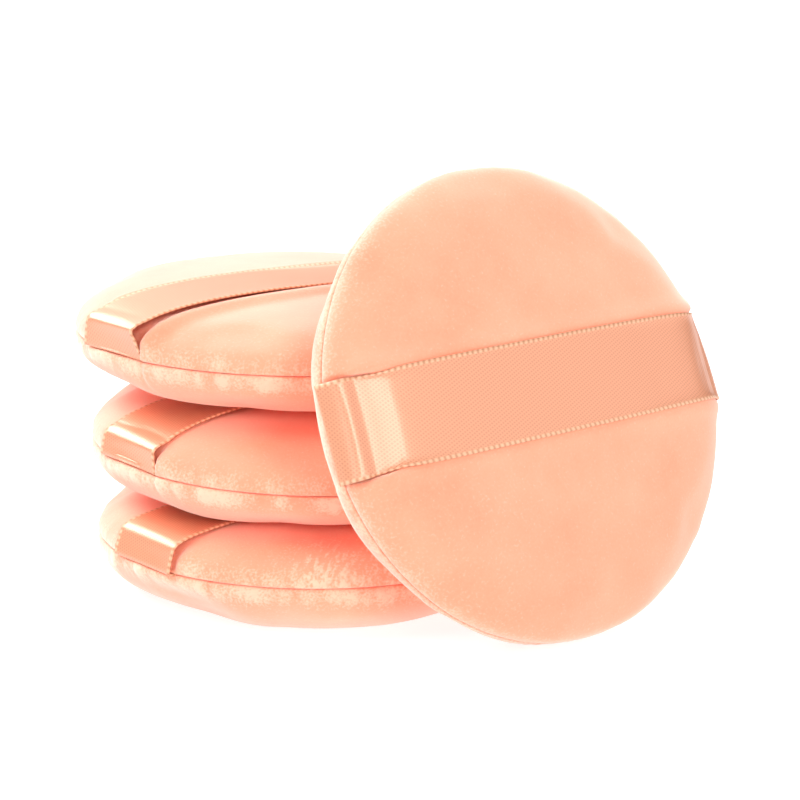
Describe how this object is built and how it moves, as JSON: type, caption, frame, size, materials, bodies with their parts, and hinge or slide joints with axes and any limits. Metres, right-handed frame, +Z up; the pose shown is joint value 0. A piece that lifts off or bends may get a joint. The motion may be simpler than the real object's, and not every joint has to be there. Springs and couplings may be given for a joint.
{
  "type": "powder puff set",
  "caption": "Set of round velour powder puffs with satin finger straps, a stack with one puff leaning against it.",
  "frame": {"origin": "middle of the bottom puff's flat underside, on the table", "axes": "+Z up; +Y away from the picture's viewpoint; the leaning puff stands at the stack's front right, towards +X and -Y"},
  "size_m": [0.1144, 0.1058, 0.0756],
  "materials": {
    "velour": "matte",
    "satin_ribbon": "satin",
    "foam": "matte",
    "sewing_thread": "satin"
  },
  "bodies": {
    "bottom_puff": {"bottom_face_cover": "velour", "bottom_back_cover": "velour", "bottom_foam_core": "foam", "bottom_finger_strap": "satin_ribbon", "bottom_needle_thread": "sewing_thread", "bottom_bobbin_thread": "sewing_thread"},
    "middle_puff": {"middle_face_cover": "velour", "middle_back_cover": "velour", "middle_foam_core": "foam", "middle_finger_strap": "satin_ribbon", "middle_needle_thread": "sewing_thread", "middle_bobbin_thread": "sewing_thread"},
    "top_puff": {"top_face_cover": "velour", "top_back_cover": "velour", "top_foam_core": "foam", "top_finger_strap": "satin_ribbon", "top_needle_thread": "sewing_thread", "top_bobbin_thread": "sewing_thread"},
    "leaning_puff": {"leaning_face_cover": "velour", "leaning_back_cover": "velour", "leaning_foam_core": "foam", "leaning_finger_strap": "satin_ribbon", "leaning_needle_thread": "sewing_thread", "leaning_bobbin_thread": "sewing_thread"}
  },
  "joints": [
    {"name": "middle_puff_lift", "type": "slide", "parent": "bottom_puff", "child": "middle_puff", "axis": [-0.3159, 0.4254, 0.8481], "range_m": [0, 0.08]},
    {"name": "top_puff_lift", "type": "slide", "parent": "middle_puff", "child": "top_puff", "axis": [-0.3159, 0.4254, 0.8481], "range_m": [0, 0.08]},
    {"name": "leaning_puff_take_away", "type": "slide", "parent": "bottom_puff", "child": "leaning_puff", "axis": [0.5962, -0.8028, 0], "range_m": [0, 0.1]}
  ]
}
